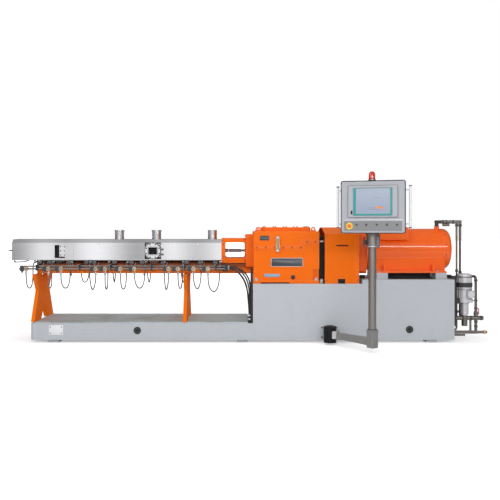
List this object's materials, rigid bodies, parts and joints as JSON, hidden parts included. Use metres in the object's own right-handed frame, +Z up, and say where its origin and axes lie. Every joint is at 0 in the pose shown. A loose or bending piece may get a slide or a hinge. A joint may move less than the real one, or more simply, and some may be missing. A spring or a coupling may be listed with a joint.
{
  "type": "twin-screw plastic extruder",
  "caption": "Twin-screw extruder on a long base: covered barrels on a carrier beam, gearbox, guarded coupling, motor, cooling lines, pump unit and swinging operator panel.",
  "frame": {"origin": "on the floor under the middle of the base", "axes": "+X along the machine from the discharge end to the motor, +Y away from the operator, +Z up"},
  "size_m": [5.3673, 1.6662, 1.795],
  "materials": {
    "orange_paint": "satin",
    "gray_paint": "satin",
    "deck_steel": "matte",
    "stainless_steel": "brushed",
    "barrel_steel": "machined",
    "dark_steel": "dull",
    "pipe_steel": "satin",
    "brass_fittings": "satin",
    "chrome_trim": "polished",
    "black_plastic": "matte",
    "black_paint": "matte",
    "silver_paint": "satin",
    "arm_gray": "satin",
    "panel_gray": "satin",
    "screen_glass": "glossy",
    "yellow_plastic": "glossy",
    "red_plastic": "glossy",
    "beacon_red": "glossy",
    "handle_aluminium": "satin",
    "braided_hose": "braided",
    "cable_sheath": "matte"
  },
  "bodies": {
    "root": {"sole_bars": "dark_steel", "bed_housing": "gray_paint", "bed_covers": "black_plastic", "deck_plate": "deck_steel", "supports": "orange_paint", "carrier_beam": "orange_paint", "barrels_even": "barrel_steel", "barrels_odd": "barrel_steel", "barrel_feet": "barrel_steel", "barrel_elbows": "brass_fittings", "barrel_cover": "stainless_steel", "barrel_ports": "stainless_steel", "vent_stacks": "stainless_steel", "feed_inlet": "stainless_steel", "discharge_flange": "barrel_steel", "lantern": "orange_paint", "gearbox_lower": "orange_paint", "gearbox_upper": "orange_paint", "gearbox_cap": "orange_paint", "oil_gauge": "chrome_trim", "drive_coupling": "dark_steel", "coupling_guard": "orange_paint", "motor_adapter": "orange_paint", "motor_body": "orange_paint", "motor_cowl": "orange_paint", "motor_feet": "orange_paint", "terminal_box": "orange_paint", "pump_bracket": "black_paint", "motor_water_lines": "pipe_steel", "pump_head": "barrel_steel", "pump_motor": "silver_paint", "pump_terminal_box": "silver_paint", "water_pipes": "pipe_steel", "pipe_bars": "dark_steel", "cooling_valves": "brass_fittings", "valve_coils": "black_plastic", "cooling_hoses": "braided_hose", "cable_bundle": "cable_sheath", "gland_box": "black_plastic", "arm_bracket": "black_paint"},
    "support_arm": {"arm_tube": "arm_gray", "panel_post": "arm_gray"},
    "control_panel": {"panel_fittings": "black_plastic", "panel_housing": "panel_gray", "panel_frame": "panel_gray", "screen_unit": "panel_gray", "screen_glass": "screen_glass", "button_strip": "panel_gray", "stop_collar": "yellow_plastic", "panel_handles": "handle_aluminium", "beacon_dome": "beacon_red"},
    "emergency_stop": {"stop_button": "red_plastic"},
    "valve_lever": {"valve_handle": "red_plastic"},
    "front_screw": {"screw_front": "dark_steel"},
    "rear_screw": {"screw_rear": "dark_steel"}
  },
  "joints": [
    {"name": "arm_swing", "type": "hinge", "parent": "root", "child": "support_arm", "pos_m": [0.933, -0.5, 0.108], "axis": [0, 0, 1], "range_deg": [-90, 22]},
    {"name": "panel_turn", "type": "hinge", "parent": "support_arm", "child": "control_panel", "pos_m": [1.28896, -0.99537, 1.1], "axis": [0, 0, 1], "range_deg": [-60, 60]},
    {"name": "stop_press", "type": "slide", "parent": "control_panel", "child": "emergency_stop", "axis": [0.342, 0.9397, 0], "range_m": [0, 0.005]},
    {"name": "valve_turn", "type": "hinge", "parent": "root", "child": "valve_lever", "pos_m": [2.62, -0.2, 0.292], "axis": [1, 0, 0], "range_deg": [0, 90]},
    {"name": "front_screw_spin", "type": "hinge", "parent": "root", "child": "front_screw", "pos_m": [-0.1, -0.021, 0.985], "axis": [1, 0, 0], "continuous": true},
    {"name": "rear_screw_spin", "type": "hinge", "parent": "root", "child": "rear_screw", "pos_m": [-0.1, 0.021, 0.985], "axis": [1, 0, 0], "continuous": true}
  ],
  "couplings": [
    {"joint": "rear_screw_spin", "follows": "front_screw_spin", "ratio": 1}
  ]
}
